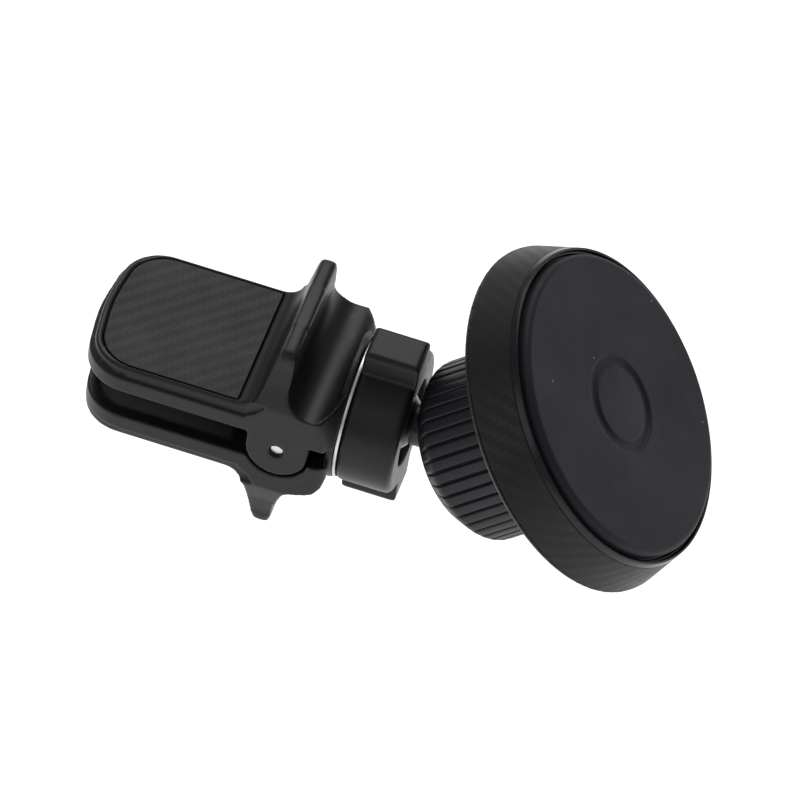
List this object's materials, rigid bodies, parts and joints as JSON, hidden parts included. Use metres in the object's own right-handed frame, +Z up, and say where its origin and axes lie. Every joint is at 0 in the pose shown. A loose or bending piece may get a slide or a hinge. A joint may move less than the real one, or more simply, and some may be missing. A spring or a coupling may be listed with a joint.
{
  "type": "magnetic vent phone mount",
  "caption": "Car phone mount: a sprung two-jaw clip for an air-vent blade, a lugged lock ring, a ball joint in a ribbed nut and a round magnetic head with a soft face.",
  "frame": {"origin": "middle of the slot between the jaws that takes the vent blade", "axes": "+Y from the phone side towards the tip of the jaws, +Z up through the upper jaw, X across the jaws"},
  "size_m": [0.0449, 0.08, 0.0445],
  "materials": {
    "black_plastic": "satin",
    "carbon_look": "satin twill",
    "soft_rubber": "matte",
    "steel_pin": "polished",
    "spring_steel": "drawn wire",
    "ball_plastic": "smooth",
    "screw_steel": "zinc",
    "collar_steel": "plain",
    "ring_plastic": "satin",
    "liner_plastic": "natural acetal, tinted grey",
    "nut_plastic": "satin",
    "gloss_black": "gloss",
    "carrier_plastic": "moulded",
    "nickel": "nickel plated",
    "yoke_steel": "zinc",
    "adhesive": "film",
    "face_silicone": "soft matte"
  },
  "bodies": {
    "clip": {"upper_jaw": "black_plastic", "upper_inlay": "carbon_look", "upper_grip_pad": "soft_rubber", "hinge_pin": "steel_pin", "torsion_spring": "spring_steel", "ball_stud": "ball_plastic", "stud_screw": "screw_steel", "lock_collar": "collar_steel"},
    "jaw": {"lower_jaw": "black_plastic", "lower_inlay": "carbon_look", "lower_grip_pad": "soft_rubber"},
    "ring": {"lock_ring": "ring_plastic"},
    "cap": {"glide_cap": "liner_plastic"},
    "liner": {"socket_liner": "liner_plastic"},
    "head": {"back_shell": "black_plastic", "rim_band": "carbon_look", "front_bezel": "gloss_black", "magnet_carrier": "carrier_plastic", "magnets": "nickel", "steel_yoke": "yoke_steel", "carrier_screws": "screw_steel", "pad_adhesive": "adhesive", "face_pad": "face_silicone", "clamp_ring": "liner_plastic"},
    "nut": {"socket_nut": "nut_plastic"}
  },
  "joints": [
    {"name": "jaw_open", "type": "hinge", "parent": "clip", "child": "jaw", "pos_m": [0, -0.0174, 0], "axis": [-1, 0, 0], "range_deg": [0, 12], "stiffness_Nm_per_rad": 0.5, "springref_deg": -20.05},
    {"name": "ring_turn", "type": "hinge", "parent": "clip", "child": "ring", "pos_m": [0, -0.0285, 0.0007], "axis": [0, 1, 0], "range_deg": [0, 90]},
    {"name": "head_swing", "type": "hinge", "parent": "clip", "child": "cap", "pos_m": [0, -0.04215, 0.0007], "axis": [0, -1, 0], "continuous": true},
    {"name": "head_tilt", "type": "hinge", "parent": "cap", "child": "liner", "pos_m": [0, -0.04215, 0.0007], "axis": [0.9986, 0, -0.0523], "range_deg": [-0.8, 42.7]},
    {"name": "head_spin", "type": "hinge", "parent": "liner", "child": "head", "pos_m": [0, -0.04215, 0.0007], "axis": [0.0355, -0.7349, 0.6772], "continuous": true},
    {"name": "nut_turn", "type": "hinge", "parent": "head", "child": "nut", "pos_m": [0, -0.04215, 0.0007], "axis": [-0.0355, 0.7349, -0.6772], "range_deg": [0, 60]}
  ]
}
